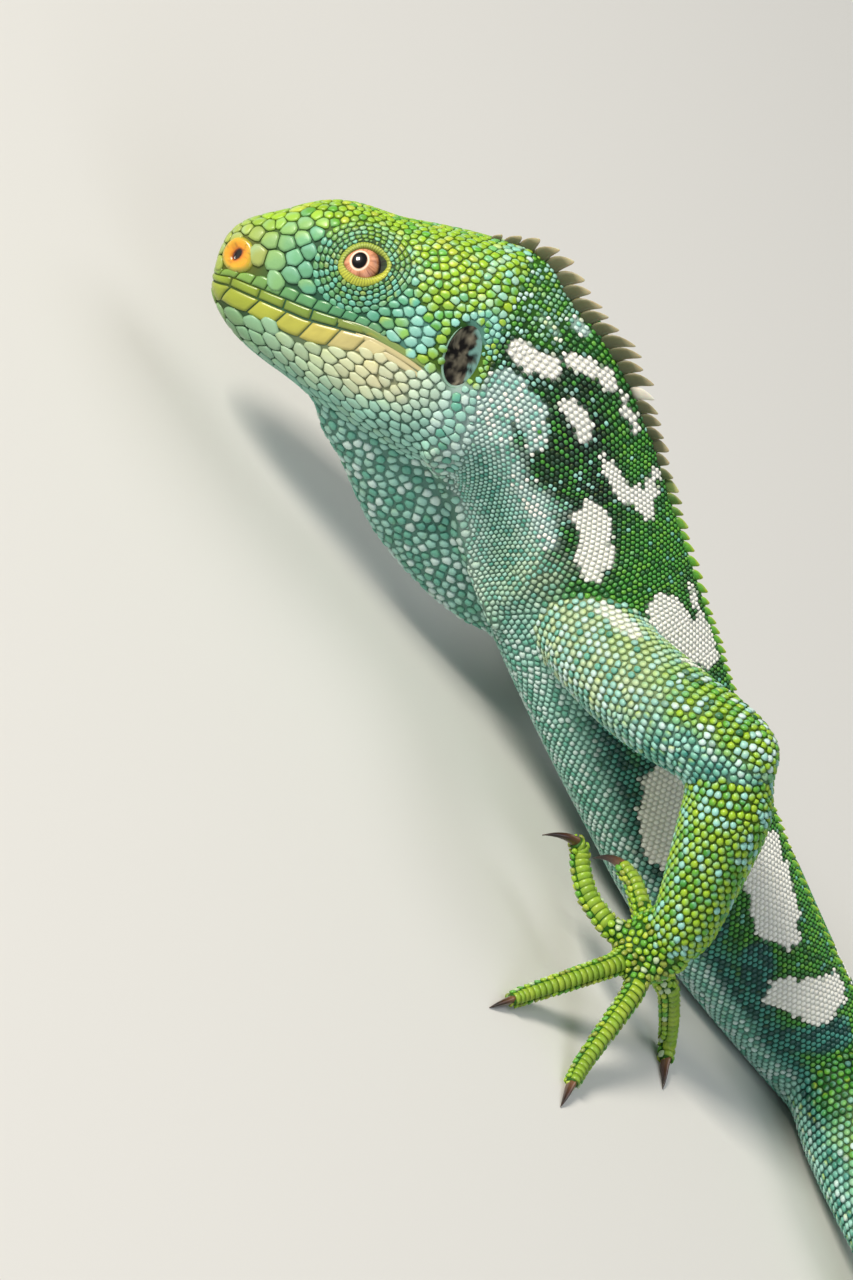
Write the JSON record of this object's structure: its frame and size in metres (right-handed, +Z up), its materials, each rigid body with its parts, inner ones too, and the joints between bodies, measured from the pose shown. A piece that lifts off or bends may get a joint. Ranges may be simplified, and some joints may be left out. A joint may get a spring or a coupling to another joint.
{
  "type": "iguana",
  "caption": "Still life-size model of a banded green and white crested iguana lying with its chest propped on bent forelegs, long tail on the floor.",
  "frame": {"origin": "on the floor, under the centre of the animal's bounding box", "axes": "+X from the head to the tip of the tail, -Y the animal's left side, +Z up"},
  "size_m": [0.6662, 0.2156, 0.0764],
  "materials": {
    "green_skin": "painted scaly skin, green with turquoise and white patches",
    "throat_skin": "painted scaly skin, pale teal",
    "lip_skin": "painted scaly skin, yellow-green",
    "eye": "wet salmon-orange iris with a round black pupil",
    "claw": "dark horn"
  },
  "bodies": {
    "root": {"head": "green_skin", "lower_jaw": "lip_skin", "eye_left": "eye", "eye_right": "eye", "throat_pouch": "throat_skin", "neck": "green_skin", "trunk_front": "green_skin", "trunk_rear": "green_skin", "tail_1": "green_skin", "tail_2": "green_skin", "tail_3": "green_skin", "tail_4": "green_skin", "tail_5": "green_skin", "foreleg_left_upper": "green_skin", "foreleg_left_lower": "green_skin", "hand_left": "green_skin", "hand_left_claw_1": "claw", "hand_left_claw_2": "claw", "hand_left_claw_3": "claw", "hand_left_claw_4": "claw", "hand_left_claw_5": "claw", "hindleg_left_upper": "green_skin", "hindleg_left_lower": "green_skin", "foot_left": "green_skin", "foot_left_claw_1": "claw", "foot_left_claw_2": "claw", "foot_left_claw_3": "claw", "foot_left_claw_4": "claw", "foot_left_claw_5": "claw", "foreleg_right_upper": "green_skin", "foreleg_right_lower": "green_skin", "hand_right": "green_skin", "hand_right_claw_1": "claw", "hand_right_claw_2": "claw", "hand_right_claw_3": "claw", "hand_right_claw_4": "claw", "hand_right_claw_5": "claw", "hindleg_right_upper": "green_skin", "hindleg_right_lower": "green_skin", "foot_right": "green_skin", "foot_right_claw_1": "claw", "foot_right_claw_2": "claw", "foot_right_claw_3": "claw", "foot_right_claw_4": "claw", "foot_right_claw_5": "claw"}
  },
  "joints": []
}
